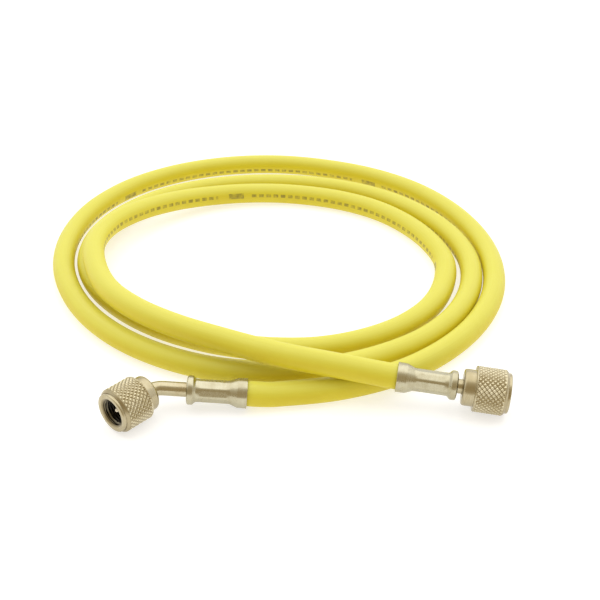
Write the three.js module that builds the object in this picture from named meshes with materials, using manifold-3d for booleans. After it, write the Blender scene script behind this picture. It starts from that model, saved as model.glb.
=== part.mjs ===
import * as THREE from 'three';
import Module from 'manifold-3d';

// Charging hose, loosely coiled in three turns on the floor, with a swivel nut on each end.
// Millimetres, +Z up, floor at z = 0.

const wasm = await Module();
wasm.setup();

// Clearances
const GAP = 0.3;                 // between pieces that touch or are seated in each other
const OVERLAP = 1.2;             // how far two volumes of one piece run into each other

// Hose
const HOSE_R = 5.25;
const HOSE_BORE_R = 2.7;
const HOSE_SIDES = 12;
const BORE_SIDES = 8;
const NECK_SQUEEZE = 0.2;         // how much thinner the hose is inside a bell mouth

// Coil: centre in plan, and a radius at every STATION_STEP degrees, anticlockwise from above
const COIL_CENTRE = [0.5, 6.27];
const STATION_STEP = 15;
const FIRST_STATION = -90;
const OUTER_TURN = [
  105.5, 104.7, 105.0, 105.1, 105.5, 105.9, 105.7, 105.5, 105.9, 107.0, 107.7, 108.6,
  111.0, 113.3, 115.2, 116.0, 114.3, 110.5, 105.9, 101.1, 97.3, 94.3, 92.3, 91.4,
];
const MIDDLE_TURN = [
  90.7, 90.6, 91.4, 93.2, 94.5, 95.0, 94.7, 92.8, 90.5, 88.5, 86.8, 85.8,
  86.1, 88.1, 91.1, 94.5, 96.4, 96.7, 93.9, 88.4, 82.3, 77.6, 74.4, 73.1,
];
const INNER_TURN = [
  73.5, 75.4, 77.4, 79.8, 81.7, 82.3, 82.4, 79.8, 77.4, 75.7, 74.1, 73.3,
  74.0, 75.5, 77.8, 81.0, 84.9, 88.6, 89.5, 88.1, 87.4, 86.3, 86.0, 88.0,
];
const CROSSING = [94.6, 104.7];
// Centre-line heights of the last stations, where the hose climbs over the turns below it
const CLIMB = [5.4, 6.0, 7.2, 9.2, 11.4, 13.5, 15.5, 16.3, 17.1, 18.1, 18.6, 18.7, 18.3, 16.6];

// Crimped ferrule, measured from its bell mouth towards the fitting
const FERRULE_L = 25.1;
const FERRULE_WALL = 0.5;
const BELL_R = 6.25;
const BELL_L = 4.4;
const BELL_EDGE = 0.25;
const BELL_TAPER = 0.15;
const SHOULDER_ROUND = 0.5;
const CRIMP_R = 4.75;
const CRIMP_START = 7.4;
const COLLAR_R = 6.05;
const COLLAR_L = 3.2;
const COLLAR_RISE_L = 1.8;
const COLLAR_ROUND = 0.9;
const FERRULE_END_WALL = 2.2;

// Stem tube
const STEM_R = 3.0;
const STEM_BORE_R = 1.5;
const BARB_R = HOSE_BORE_R - GAP;
const BARB_START = 2.5;
const BEND_R = 8.0;

// Swivel nut, measured back from its front face
const NUT_L = 19.1;
const NUT_R = 9.45;
const NUT_CHAMFER = 1.0;
const NUT_BACK_CHAMFER = 0.3;
const LIP_R = 8.3;
const LIP_L = 1.2;
const LIP_ROUND = 0.5;
const HUB_R = 7.55;
const HUB_L = 4.8;
const HUB_ROUND = 0.9;
const MOUTH_R = 6.6;
const THREAD_MAJOR_R = 5.56;
const THREAD_MINOR_R = 4.95;
const THREAD_PITCH = 1.27;
const THREAD_TURNS = 7;
const THREAD_START = 1.5;
const THREAD_FLANK = 0.35 * THREAD_PITCH;
const THREAD_CREST = 0.25 * THREAD_PITCH;
const NUT_BACK_WALL = 2.6;
const NUT_SEGMENTS = 40;

// Gasket and stem flange inside the nut
const FLANGE_L = 1.8;
const FLANGE_R = THREAD_MINOR_R - GAP;
const GASKET_L = 2.2;
const GASKET_CLEARANCE = 0.25;
const GASKET_R = THREAD_MINOR_R - GASKET_CLEARANCE;
const GASKET_HOLE_R = 2.0;

// Valve-core depressor in the elbow end
const CROSSBAR_L = 5.0;
const CROSSBAR_W = 2.2;
const CROSSBAR_T = 0.8;
const PIN_R = 0.9;
const PIN_TIP_DEPTH = 2.5;
const PIN_POINT = 0.3;

// Elbow end: bell mouth, distance from the collar to the bend, heading of the nut
const ELBOW_BELL = [-9.8, -100.23, 6.45];
const ELBOW_STRAIGHT = 12.9;
const ELBOW_TO_NUT = 3.7;
const ELBOW_HEADING = 47;

// Straight end: bell mouth in plan, heading and downward slope of its axis
const STRAIGHT_BELL = [50.8, -97.08];
const STRAIGHT_HEADING = -8.5;
const STRAIGHT_SLOPE = 4.3;
const NECK_L = 2.1;

const RUBBER_YELLOW = new THREE.MeshStandardMaterial({ color: 0xd6c63c, roughness: 0.6, metalness: 0 });
const NICKEL = new THREE.MeshStandardMaterial({ color: 0xc8bd9c, roughness: 0.28, metalness: 1 });
const NICKEL_KNURLED = new THREE.MeshStandardMaterial({ color: 0xbfb28c, roughness: 0.4, metalness: 1 });
const BRASS = new THREE.MeshStandardMaterial({ color: 0xb99a5a, roughness: 0.35, metalness: 1 });
const SEAL_BLACK = new THREE.MeshStandardMaterial({ color: 0x1b1b1b, roughness: 0.8, metalness: 0 });

const Z_AXIS = new THREE.Vector3(0, 0, 1);

/** A manifold solid from a closed geometry. */
function toSolid(geometry) {
  const positions = geometry.getAttribute('position');
  const index = geometry.index ? geometry.index.array : [...Array(positions.count).keys()];
  const seen = new Map();
  const vertices = [];
  const remap = [];
  for (let i = 0; i < positions.count; i += 1) {
    const p = [positions.getX(i), positions.getY(i), positions.getZ(i)];
    const key = p.map((v) => Math.round(v * 1e4)).join(',');
    if (!seen.has(key)) {
      seen.set(key, vertices.length / 3);
      vertices.push(...p);
    }
    remap.push(seen.get(key));
  }
  const triangles = [];
  for (let i = 0; i < index.length; i += 3) {
    const [a, b, c] = [remap[index[i]], remap[index[i + 1]], remap[index[i + 2]]];
    if (a !== b && b !== c && a !== c) triangles.push(a, b, c);
  }
  const triVerts = Uint32Array.from(triangles);
  const vertProperties = Float32Array.from(vertices);
  return new wasm.Manifold(new wasm.Mesh({ numProp: 3, vertProperties, triVerts }));
}

/** A geometry with flat-ready normals from a manifold solid. */
function toGeometry(solid) {
  const mesh = solid.getMesh();
  const geometry = new THREE.BufferGeometry();
  geometry.setAttribute('position', new THREE.BufferAttribute(Float32Array.from(mesh.vertProperties), 3));
  geometry.setIndex(new THREE.BufferAttribute(Uint32Array.from(mesh.triVerts), 1));
  geometry.computeVertexNormals();
  return geometry;
}

/** Outside volumes joined, with the passages cut out of them. */
function hollow(outsides, passages) {
  let body = toSolid(outsides[0]);
  for (const outside of outsides.slice(1)) body = body.add(toSolid(outside));
  for (const passage of passages) body = body.subtract(toSolid(passage));
  return toGeometry(body);
}

/** Turned shape about +Z. The profile is a list of [radius, z], anticlockwise in the r-z plane. */
function turned(profile, segments) {
  const points = profile.map(([r, z]) => new THREE.Vector2(r, z));
  const geometry = new THREE.LatheGeometry(points, segments);
  geometry.rotateX(Math.PI / 2);
  return geometry;
}

/** Solid rod about +Z from z0 to z1. */
function rod(radius, z0, z1, segments) {
  return turned([[0, z0], [radius, z0], [radius, z1], [0, z1]], segments);
}

/** Placement that puts the local origin at a point and local +Z along an axis. */
function seat(origin, axis) {
  const turn = new THREE.Quaternion().setFromUnitVectors(Z_AXIS, axis);
  return new THREE.Matrix4().compose(origin, turn, new THREE.Vector3(1, 1, 1));
}

/** Round section for a tube. */
function section(radius, sides) {
  const shape = new THREE.Shape();
  for (let i = 0; i < sides; i += 1) {
    const a = ((i + 0.5) / sides) * 2 * Math.PI;
    const x = radius * Math.cos(a);
    const y = radius * Math.sin(a);
    if (i === 0) shape.moveTo(x, y);
    else shape.lineTo(x, y);
  }
  shape.closePath();
  return shape;
}

/** Solid tube of a round section along a path. */
function tube(path, radius, sides, steps) {
  const options = { steps, bevelEnabled: false, extrudePath: path };
  return new THREE.ExtrudeGeometry(section(radius, sides), options);
}

/** Smooth curve whose even parameter steps fall on its stations. */
class StationCurve extends THREE.CatmullRomCurve3 {
  getPointAt(u, target) {
    return this.getPoint(u, target);
  }

  getTangentAt(u, target) {
    return this.getTangent(u, target);
  }
}

// Axes of the two ends
const elbowBell = new THREE.Vector3(...ELBOW_BELL);
const elbowRun = FERRULE_L + ELBOW_STRAIGHT;
const elbowRise = Math.asin((NUT_R - ELBOW_BELL[2]) / elbowRun);
const elbowAxis = new THREE.Vector3(-Math.cos(elbowRise), 0, Math.sin(elbowRise));
const elbowCorner = elbowBell.clone().addScaledVector(elbowAxis, elbowRun);
const heading = THREE.MathUtils.degToRad(ELBOW_HEADING);
const elbowNutAxis = new THREE.Vector3(-Math.cos(heading), -Math.sin(heading), 0);
const elbowNutFace = elbowCorner.clone().addScaledVector(elbowNutAxis, ELBOW_TO_NUT + NUT_L);

const slope = THREE.MathUtils.degToRad(STRAIGHT_SLOPE);
const bearing = THREE.MathUtils.degToRad(STRAIGHT_HEADING);
const straightAxis = new THREE.Vector3(
  Math.cos(slope) * Math.cos(bearing),
  Math.cos(slope) * Math.sin(bearing),
  -Math.sin(slope),
);
const straightRun = FERRULE_L + NECK_L + NUT_L;
const nutEdgeBack = LIP_L + NUT_CHAMFER;
const straightFaceZ = NUT_R * Math.cos(slope) - nutEdgeBack * Math.sin(slope);
const straightBell = new THREE.Vector3(
  ...STRAIGHT_BELL,
  straightFaceZ + straightRun * Math.sin(slope),
);
const straightNutFace = straightBell.clone().addScaledVector(straightAxis, straightRun);

/** Stations of the hose from one bell mouth to the other. */
function hoseStations() {
  const radii = [...OUTER_TURN, ...MIDDLE_TURN, ...INNER_TURN, ...CROSSING];
  const climbStart = radii.length - CLIMB.length;
  const stations = [elbowBell.clone()];
  radii.forEach((radius, i) => {
    const angle = THREE.MathUtils.degToRad(FIRST_STATION + i * STATION_STEP);
    stations.push(new THREE.Vector3(
      COIL_CENTRE[0] + radius * Math.cos(angle),
      COIL_CENTRE[1] + radius * Math.sin(angle),
      i < climbStart ? HOSE_R : CLIMB[i - climbStart],
    ));
  });
  stations.push(straightBell.clone());
  return stations;
}

/** The part of the hose end that is squeezed inside a ferrule, from just outside its bell mouth. */
function hoseNeck() {
  const bellInside = Math.min(HOSE_R - NECK_SQUEEZE, BELL_R - FERRULE_WALL - GAP);
  const crimpInside = CRIMP_R - FERRULE_WALL - GAP;
  const end = FERRULE_L - FERRULE_END_WALL - GAP;
  return turned([
    [0, -OVERLAP], [bellInside, -OVERLAP], [bellInside, BELL_L - GAP],
    [crimpInside, CRIMP_START - GAP], [crimpInside, end], [0, end],
  ], HOSE_SIDES * 2);
}

function hose() {
  const stations = hoseStations();
  const path = new StationCurve(stations, false, 'centripetal');
  const steps = stations.length - 1;
  const bore = rod(HOSE_BORE_R, -OVERLAP, FERRULE_L, BORE_SIDES * 2);
  const outsides = [tube(path, HOSE_R, HOSE_SIDES, steps)];
  const passages = [tube(path, HOSE_BORE_R, BORE_SIDES, steps)];
  for (const [bell, axis] of [[elbowBell, elbowAxis], [straightBell, straightAxis]]) {
    outsides.push(hoseNeck().applyMatrix4(seat(bell, axis)));
    passages.push(bore.clone().applyMatrix4(seat(bell, axis)));
  }
  return hollow(outsides, passages);
}

function ferrule() {
  const bellInside = BELL_R - BELL_TAPER - FERRULE_WALL;
  const bellOutside = BELL_R - BELL_TAPER;
  const crimpInside = CRIMP_R - FERRULE_WALL;
  const collar = FERRULE_L - COLLAR_L;
  const collarStep = COLLAR_R - CRIMP_R;
  const hole = STEM_R + GAP;
  const endWall = FERRULE_L - FERRULE_END_WALL;
  return turned([
    [bellInside, GAP], [BELL_R - BELL_EDGE, GAP], [BELL_R, GAP + BELL_EDGE],
    [bellOutside, BELL_L - SHOULDER_ROUND],
    [bellOutside - SHOULDER_ROUND * 0.6, BELL_L + SHOULDER_ROUND],
    [CRIMP_R + SHOULDER_ROUND * 0.3, CRIMP_START - SHOULDER_ROUND], [CRIMP_R, CRIMP_START],
    [CRIMP_R + collarStep * 0.08, collar - COLLAR_RISE_L / 2],
    [CRIMP_R + collarStep * 0.38, collar - COLLAR_RISE_L / 6],
    [CRIMP_R + collarStep * 0.66, collar + COLLAR_RISE_L / 9],
    [COLLAR_R, collar + COLLAR_RISE_L / 2], [COLLAR_R, FERRULE_L - COLLAR_ROUND],
    [COLLAR_R - COLLAR_ROUND * 0.35, FERRULE_L - COLLAR_ROUND * 0.25], [COLLAR_R - COLLAR_ROUND, FERRULE_L],
    [hole, FERRULE_L], [hole, endWall], [crimpInside, endWall],
    [crimpInside, CRIMP_START], [bellInside, BELL_L], [bellInside, GAP],
  ], 36);
}

// Depths inside a nut, back from its front face
const flangeBack = NUT_L - NUT_BACK_WALL - GAP;
const flangeFront = flangeBack - FLANGE_L;
const gasketBack = flangeFront - GAP;
const gasketFront = gasketBack - GASKET_L;
const counterboreDepth = CROSSBAR_T + 2 * GAP;

function nut() {
  const grip = NUT_L - HUB_L;
  const backWall = NUT_L - NUT_BACK_WALL;
  const profile = [
    [MOUTH_R, 0], [LIP_R - LIP_ROUND, 0], [LIP_R - LIP_ROUND * 0.3, -LIP_ROUND * 0.3],
    [LIP_R, -LIP_ROUND], [LIP_R, -LIP_L], [NUT_R - NUT_CHAMFER, -LIP_L],
    [NUT_R, -LIP_L - NUT_CHAMFER], [NUT_R, -(grip - NUT_BACK_CHAMFER)],
    [NUT_R - NUT_BACK_CHAMFER, -grip], [HUB_R, -grip], [HUB_R, -(NUT_L - HUB_ROUND)],
    [HUB_R - HUB_ROUND * 0.3, -(NUT_L - HUB_ROUND * 0.3)], [HUB_R - HUB_ROUND, -NUT_L],
    [STEM_R + GAP, -NUT_L], [STEM_R + GAP, -backWall], [THREAD_MAJOR_R, -backWall],
  ];
  for (let turn = THREAD_TURNS; turn > 0; turn -= 1) {
    const crest = THREAD_START + turn * THREAD_PITCH;
    profile.push([THREAD_MAJOR_R, -(crest + THREAD_FLANK)]);
    profile.push([THREAD_MINOR_R, -crest], [THREAD_MINOR_R, -(crest - THREAD_CREST)]);
  }
  profile.push([THREAD_MAJOR_R, -THREAD_START], [MOUTH_R, 0]);
  return turned(profile.reverse(), NUT_SEGMENTS);
}

function gasket() {
  return turned([
    [GASKET_HOLE_R, -gasketBack], [GASKET_R, -gasketBack], [GASKET_R, -gasketFront],
    [GASKET_HOLE_R, -gasketFront], [GASKET_HOLE_R, -gasketBack],
  ], 32);
}

/** Flange at the nut end of a stem, in the nut's own frame. */
function flange() {
  return rod(FLANGE_R, -flangeBack, -flangeFront, 32);
}

function straightStem() {
  const bell = seat(straightBell, straightAxis);
  const face = seat(straightNutFace, straightAxis);
  const shaftEnd = straightRun - flangeBack + OVERLAP / 2;
  const barb = rod(BARB_R, BARB_START, FERRULE_L, 24).applyMatrix4(bell);
  const shaft = rod(STEM_R, FERRULE_L - FERRULE_END_WALL + GAP, shaftEnd, 24).applyMatrix4(bell);
  const bore = rod(STEM_BORE_R, 0, straightRun, 16).applyMatrix4(bell);
  return hollow([barb, shaft, flange().applyMatrix4(face)], [bore]);
}

/** Path along the elbow: straight in the ferrule, round the bend, straight into the nut. */
function elbowPath(startDistance, endDistance) {
  const bendAngle = elbowAxis.angleTo(elbowNutAxis);
  const tangent = BEND_R * Math.tan(bendAngle / 2);
  const start = elbowBell.clone().addScaledVector(elbowAxis, startDistance);
  const bendIn = elbowCorner.clone().addScaledVector(elbowAxis, -tangent);
  const bendOut = elbowCorner.clone().addScaledVector(elbowNutAxis, tangent);
  const end = elbowCorner.clone().addScaledVector(elbowNutAxis, endDistance);
  const path = new THREE.CurvePath();
  path.add(new THREE.LineCurve3(start, bendIn));
  path.add(new THREE.QuadraticBezierCurve3(bendIn, elbowCorner, bendOut));
  path.add(new THREE.LineCurve3(bendOut, end));
  return path;
}

function elbowStem() {
  const bell = seat(elbowBell, elbowAxis);
  const face = seat(elbowNutFace, elbowNutAxis);
  const cornerToFace = ELBOW_TO_NUT + NUT_L;
  const shaftStart = FERRULE_L - FERRULE_END_WALL + GAP;
  const shaftPath = elbowPath(shaftStart, cornerToFace - flangeBack + OVERLAP / 2);
  const shaft = tube(shaftPath, STEM_R, 24, 20);
  const bore = tube(elbowPath(0, cornerToFace), STEM_BORE_R, 16, 30);
  const barb = rod(BARB_R, BARB_START, FERRULE_L, 24).applyMatrix4(bell);
  const seatBottom = -(flangeFront + counterboreDepth);
  const counterbore = rod(CROSSBAR_L / 2 + GAP, seatBottom, -flangeFront + OVERLAP, 32);
  return hollow(
    [shaft, barb, flange().applyMatrix4(face)],
    [bore, counterbore.applyMatrix4(face)],
  );
}

/** Crossbar seated in the elbow flange, with a pin that reaches through the gasket. */
function coreDepressor() {
  const crossbar = new THREE.Shape();
  const arm = (CROSSBAR_L - CROSSBAR_W) / 2;
  crossbar.absarc(arm, 0, CROSSBAR_W / 2, -Math.PI / 2, Math.PI / 2, false);
  crossbar.absarc(-arm, 0, CROSSBAR_W / 2, Math.PI / 2, (3 * Math.PI) / 2, false);
  const options = { depth: CROSSBAR_T, bevelEnabled: false, curveSegments: 8 };
  const bar = new THREE.ExtrudeGeometry(crossbar, options);
  bar.translate(0, 0, -(flangeFront + GAP + CROSSBAR_T));
  const pin = turned([
    [0, -(flangeFront + GAP + CROSSBAR_T / 2)], [PIN_R, -(flangeFront + GAP + CROSSBAR_T / 2)],
    [PIN_R, -(PIN_TIP_DEPTH + PIN_POINT)], [PIN_R - PIN_POINT, -PIN_TIP_DEPTH], [0, -PIN_TIP_DEPTH],
  ], 20);
  return hollow([bar, pin], []);
}

const part = new THREE.Group();
part.name = 'refrigerant_charging_hose';

/** Adds one piece as a named node. */
function addPiece(name, geometry, material) {
  const mesh = new THREE.Mesh(geometry, material.clone());
  mesh.name = name;
  part.add(mesh);
}

const elbowBellSeat = seat(elbowBell, elbowAxis);
const elbowFaceSeat = seat(elbowNutFace, elbowNutAxis);
const straightBellSeat = seat(straightBell, straightAxis);
const straightFaceSeat = seat(straightNutFace, straightAxis);

addPiece('hose', hose(), RUBBER_YELLOW);
addPiece('elbow_ferrule', ferrule().applyMatrix4(elbowBellSeat), NICKEL);
addPiece('elbow_stem', elbowStem(), NICKEL);
addPiece('elbow_nut', nut().applyMatrix4(elbowFaceSeat), NICKEL_KNURLED);
addPiece('elbow_gasket', gasket().applyMatrix4(elbowFaceSeat), SEAL_BLACK);
addPiece('core_depressor', coreDepressor().applyMatrix4(elbowFaceSeat), BRASS);
addPiece('straight_ferrule', ferrule().applyMatrix4(straightBellSeat), NICKEL);
addPiece('straight_stem', straightStem(), NICKEL);
addPiece('straight_nut', nut().applyMatrix4(straightFaceSeat), NICKEL_KNURLED);
addPiece('straight_gasket', gasket().applyMatrix4(straightFaceSeat), SEAL_BLACK);

export default part;
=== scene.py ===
import logging
import math
from dataclasses import dataclass, field
from enum import Enum
from typing import Optional, Sequence

import bpy
import numpy as np
from mathutils import Matrix, Vector


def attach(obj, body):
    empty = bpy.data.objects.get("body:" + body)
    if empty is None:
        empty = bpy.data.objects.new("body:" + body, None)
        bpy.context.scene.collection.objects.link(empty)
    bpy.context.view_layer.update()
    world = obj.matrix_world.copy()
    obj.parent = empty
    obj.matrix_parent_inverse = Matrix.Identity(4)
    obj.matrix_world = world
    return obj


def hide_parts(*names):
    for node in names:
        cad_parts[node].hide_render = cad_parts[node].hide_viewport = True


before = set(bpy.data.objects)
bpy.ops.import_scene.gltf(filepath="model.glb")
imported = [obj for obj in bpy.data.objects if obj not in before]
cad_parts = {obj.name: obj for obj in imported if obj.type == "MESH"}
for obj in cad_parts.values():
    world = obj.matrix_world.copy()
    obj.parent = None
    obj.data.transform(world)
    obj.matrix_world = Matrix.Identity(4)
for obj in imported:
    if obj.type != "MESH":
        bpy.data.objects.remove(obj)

logging.basicConfig(level=logging.INFO, format="%(message)s")
log = logging.getLogger("charging_hose")

MM = 0.001
TAU = 2.0 * math.pi

Point = Sequence[float]
Colour = tuple[float, float, float, float]


class Body(Enum):
    """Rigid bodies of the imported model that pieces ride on."""

    HOSE = "hose_assembly"
    ELBOW_NUT = "elbow_swivel"
    STRAIGHT_NUT = "straight_swivel"


class Slot(Enum):
    """Material slots of the record."""

    HOSE = "hose_rubber"
    FERRULE = "ferrule_plating"
    STEM = "stem_plating"
    NUT = "nut_plating"
    SEAL = "seal_rubber"
    DEPRESSOR = "depressor_brass"


# ---------------------------------------------------------------------------
# Places shared by all pieces, in metres


@dataclass(frozen=True)
class Placement:
    """A point and a unit axis. Local +Z of a turned piece runs along the axis."""

    origin: np.ndarray
    axis: np.ndarray

    def matrix(self) -> np.ndarray:
        """Returns the 4x4 matrix from local to row coordinates."""
        turn = Vector((0.0, 0.0, 1.0)).rotation_difference(Vector(self.axis)).to_matrix().to_4x4()
        return np.array(Matrix.Translation(Vector(self.origin)) @ turn)

    def along(self, distance: float) -> np.ndarray:
        """Returns the point at a distance along the axis."""
        return self.origin + self.axis * distance


@dataclass(frozen=True)
class EndLayout:
    """Places of the two ends and the sizes that set them, in metres and degrees."""

    ferrule_length: float = 25.1 * MM
    neck_length: float = 2.1 * MM
    nut_length: float = 19.1 * MM
    nut_radius: float = 9.45 * MM
    nut_edge_back: float = 2.2 * MM
    elbow_bell: tuple[float, float, float] = (-9.8 * MM, -100.23 * MM, 6.45 * MM)
    elbow_straight: float = 12.9 * MM
    elbow_to_nut: float = 3.7 * MM
    elbow_heading: float = 47.0
    straight_bell: tuple[float, float] = (50.8 * MM, -97.08 * MM)
    straight_heading: float = -8.5
    straight_slope: float = 4.3

    def elbow_ferrule(self) -> Placement:
        """Returns the bell mouth and axis of the elbow end's ferrule."""
        run = self.ferrule_length + self.elbow_straight
        rise = math.asin((self.nut_radius - self.elbow_bell[2]) / run)
        axis = np.array([-math.cos(rise), 0.0, math.sin(rise)])
        return Placement(np.array(self.elbow_bell), axis)

    def elbow_corner(self) -> np.ndarray:
        """Returns the point where the elbow's two axes meet."""
        return self.elbow_ferrule().along(self.ferrule_length + self.elbow_straight)

    def elbow_nut(self) -> Placement:
        """Returns the front face centre and outward axis of the elbow end's nut."""
        heading = math.radians(self.elbow_heading)
        axis = np.array([-math.cos(heading), -math.sin(heading), 0.0])
        return Placement(self.elbow_corner() + axis * (self.elbow_to_nut + self.nut_length), axis)

    def straight_run(self) -> float:
        """Returns the distance from bell mouth to nut face at the straight end."""
        return self.ferrule_length + self.neck_length + self.nut_length

    def straight_ferrule(self) -> Placement:
        """Returns the bell mouth and axis of the straight end's ferrule."""
        slope = math.radians(self.straight_slope)
        heading = math.radians(self.straight_heading)
        axis = np.array([
            math.cos(slope) * math.cos(heading),
            math.cos(slope) * math.sin(heading),
            -math.sin(slope),
        ])
        face_z = self.nut_radius * math.cos(slope) - self.nut_edge_back * math.sin(slope)
        bell_z = face_z + self.straight_run() * math.sin(slope)
        return Placement(np.array([*self.straight_bell, bell_z]), axis)

    def straight_nut(self) -> Placement:
        """Returns the front face centre and outward axis of the straight end's nut."""
        ferrule = self.straight_ferrule()
        return Placement(ferrule.along(self.straight_run()), ferrule.axis)


LAYOUT = EndLayout()


# ---------------------------------------------------------------------------
# Mesh building


def make_object(name: str, vertices: np.ndarray, faces: np.ndarray, uvs: np.ndarray,
                sharp_angle: float = 40.0) -> bpy.types.Object:
    """Makes a mesh object of quads with one UV map.

    Args:
        name: Name of the object.
        vertices: (n, 3) points in metres.
        faces: (m, 4) vertex indices.
        uvs: (m, 4, 2) texture places of the face corners.
        sharp_angle: Edges over this angle in degrees stay sharp.

    Returns:
        The new object, linked to the scene.
    """
    mesh = bpy.data.meshes.new(name)
    mesh.from_pydata(vertices.tolist(), [], faces.tolist())
    layer = mesh.uv_layers.new(name="surface")
    layer.data.foreach_set("uv", uvs.astype(np.float32).ravel())
    mesh.shade_smooth()
    mesh.set_sharp_from_angle(angle=math.radians(sharp_angle))
    mesh.validate()
    obj = bpy.data.objects.new(name, mesh)
    bpy.context.scene.collection.objects.link(obj)
    return obj


def outward(vertices: np.ndarray, faces: np.ndarray) -> bool:
    """Returns True if a closed mesh's faces look outwards, judged by its signed volume."""
    a, b, c, d = (vertices[faces[:, k]] for k in range(4))
    volume = sum(np.einsum("ij,ij->i", a, np.cross(p, q)).sum() for p, q in ((b, c), (c, d)))
    return bool(volume > 0.0)


def ring_object(name: str, rings: np.ndarray, u: np.ndarray, closed: bool,
                sharp_angle: float = 40.0) -> bpy.types.Object:
    """Makes a solid from rings of points.

    Args:
        name: Name of the object.
        rings: (n, k, 3) points of n rings.
        u: Texture coordinate of each ring; one more value than rings where closed is True.
        closed: True joins the last ring to the first, False closes both ends with a fan.
        sharp_angle: See make_object.

    Returns:
        The new object.
    """
    count, around, _ = rings.shape
    vertices = rings.reshape(-1, 3)
    i = np.arange(count if closed else count - 1)
    j = np.arange(around)
    ii, jj = np.meshgrid(i, j, indexing="ij")
    nxt, right = (ii + 1) % count, (jj + 1) % around
    faces = np.stack([
        ii * around + jj, ii * around + right, nxt * around + right, nxt * around + jj,
    ], -1)
    u0, u1 = u[ii], u[ii + 1]
    v0, v1 = jj / around, (jj + 1) / around
    uvs = np.stack([
        np.stack([u0, v0], -1), np.stack([u0, v1], -1),
        np.stack([u1, v1], -1), np.stack([u1, v0], -1),
    ], -2)
    faces, uvs = faces.reshape(-1, 4), uvs.reshape(-1, 4, 2)
    if not closed:
        vertices, faces, uvs = add_caps(vertices, faces, uvs, count, around, u)
    if not outward(vertices, faces):
        faces, uvs = faces[:, ::-1], uvs[:, ::-1]
    return make_object(name, vertices, faces, uvs, sharp_angle)


def add_caps(vertices: np.ndarray, faces: np.ndarray, uvs: np.ndarray, count: int, around: int,
             u: np.ndarray) -> tuple[np.ndarray, np.ndarray, np.ndarray]:
    """Closes both ends of a ring solid with quads that meet in the middle.

    Args:
        vertices: Points so far, ring by ring.
        faces: Faces so far.
        uvs: Texture places so far.
        count: Number of rings.
        around: Points in a ring, an even number.
        u: Texture coordinate of each ring.

    Returns:
        The points, faces and texture places with the caps added.
    """
    points, quads, places = [vertices], [faces], [uvs]
    total = len(vertices)
    for ring, flip in ((0, True), (count - 1, False)):
        base = ring * around
        centre = vertices[base:base + around].mean(axis=0)
        points.append(centre[None])
        j = np.arange(0, around, 2)
        cap = np.stack([
            np.full_like(j, total), base + j, base + (j + 1) % around, base + (j + 2) % around,
        ], -1)
        quads.append(cap[:, ::-1] if flip else cap)
        places.append(np.tile(np.array([u[ring], 0.5]), (len(j), 4, 1)))
        total += 1
    return np.concatenate(points), np.concatenate(quads), np.concatenate(places)


def turned_rings(profile: np.ndarray, around: int) -> np.ndarray:
    """Turns a profile of [radius, z] rows about local +Z.

    Args:
        profile: (n, 2) radii and heights.
        around: Points in each ring.

    Returns:
        (n, around, 3) local points.
    """
    angle = np.arange(around) / around * TAU
    x = profile[:, :1] * np.cos(angle)
    y = profile[:, :1] * np.sin(angle)
    z = np.repeat(profile[:, 1:2], around, axis=1)
    return np.stack([x, y, z], -1)


def placed(rings: np.ndarray, where: Placement) -> np.ndarray:
    """Returns ring points moved from local to row coordinates."""
    m = where.matrix()
    return rings @ m[:3, :3].T + m[:3, 3]


def profile_lengths(profile: np.ndarray, closed: bool) -> np.ndarray:
    """Returns the distance along a profile at each row, with the way back where closed is True."""
    rows = np.vstack([profile, profile[:1]]) if closed else profile
    return np.r_[0.0, np.cumsum(np.linalg.norm(np.diff(rows, axis=0), axis=1))]


def rounded(rows: Sequence[tuple[float, float, float]], steps: int = 5) -> np.ndarray:
    """Rounds the corners of a closed or open profile.

    Args:
        rows: (radius, z, corner radius) of each corner.
        steps: Points on each rounded corner.

    Returns:
        (n, 2) profile rows, with sharp corners kept where the corner radius is zero.
    """
    corners = np.array([row[:2] for row in rows], float)
    out: list[np.ndarray] = []
    n = len(corners)
    for k in range(n):
        r = rows[k][2]
        before, here, after = corners[k - 1], corners[k], corners[(k + 1) % n]
        a, b = before - here, after - here
        la, lb = np.linalg.norm(a), np.linalg.norm(b)
        if r <= 0.0 or la < 1e-9 or lb < 1e-9:
            out.append(here)
            continue
        a, b = a / la, b / lb
        half = math.acos(float(np.clip(a @ b, -1.0, 1.0))) / 2.0
        reach = min(r / max(math.tan(half), 1e-6), 0.49 * la, 0.49 * lb)
        start, end = here + a * reach, here + b * reach
        for t in np.linspace(0.0, 1.0, steps):
            out.append((1 - t) ** 2 * start + 2 * t * (1 - t) * here + t ** 2 * end)
    return np.array(out)


def sweep_rings(points: np.ndarray, radii: np.ndarray, around: int, up: Point) -> np.ndarray:
    """Sweeps a circle along a line without twist.

    Args:
        points: (n, 3) centre points.
        radii: Radius at each point.
        around: Points in each ring.
        up: Direction that the first point of the first ring faces, roughly.

    Returns:
        (n, around, 3) points.
    """
    tangents = np.gradient(points, axis=0)
    tangents /= np.linalg.norm(tangents, axis=1)[:, None]
    normal = np.array(up, float)
    rings = []
    angle = np.arange(around) / around * TAU
    for p, t, r in zip(points, tangents, radii):
        normal = normal - t * (normal @ t)
        normal /= np.linalg.norm(normal)
        side = np.cross(normal, t)
        rings.append(p + r * (np.cos(angle)[:, None] * normal + np.sin(angle)[:, None] * side))
    return np.array(rings)


def path_lengths(points: np.ndarray) -> np.ndarray:
    """Returns the distance along a line at each of its points."""
    return np.r_[0.0, np.cumsum(np.linalg.norm(np.diff(points, axis=0), axis=1))]


# ---------------------------------------------------------------------------
# Shader helpers and shared node groups


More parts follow.
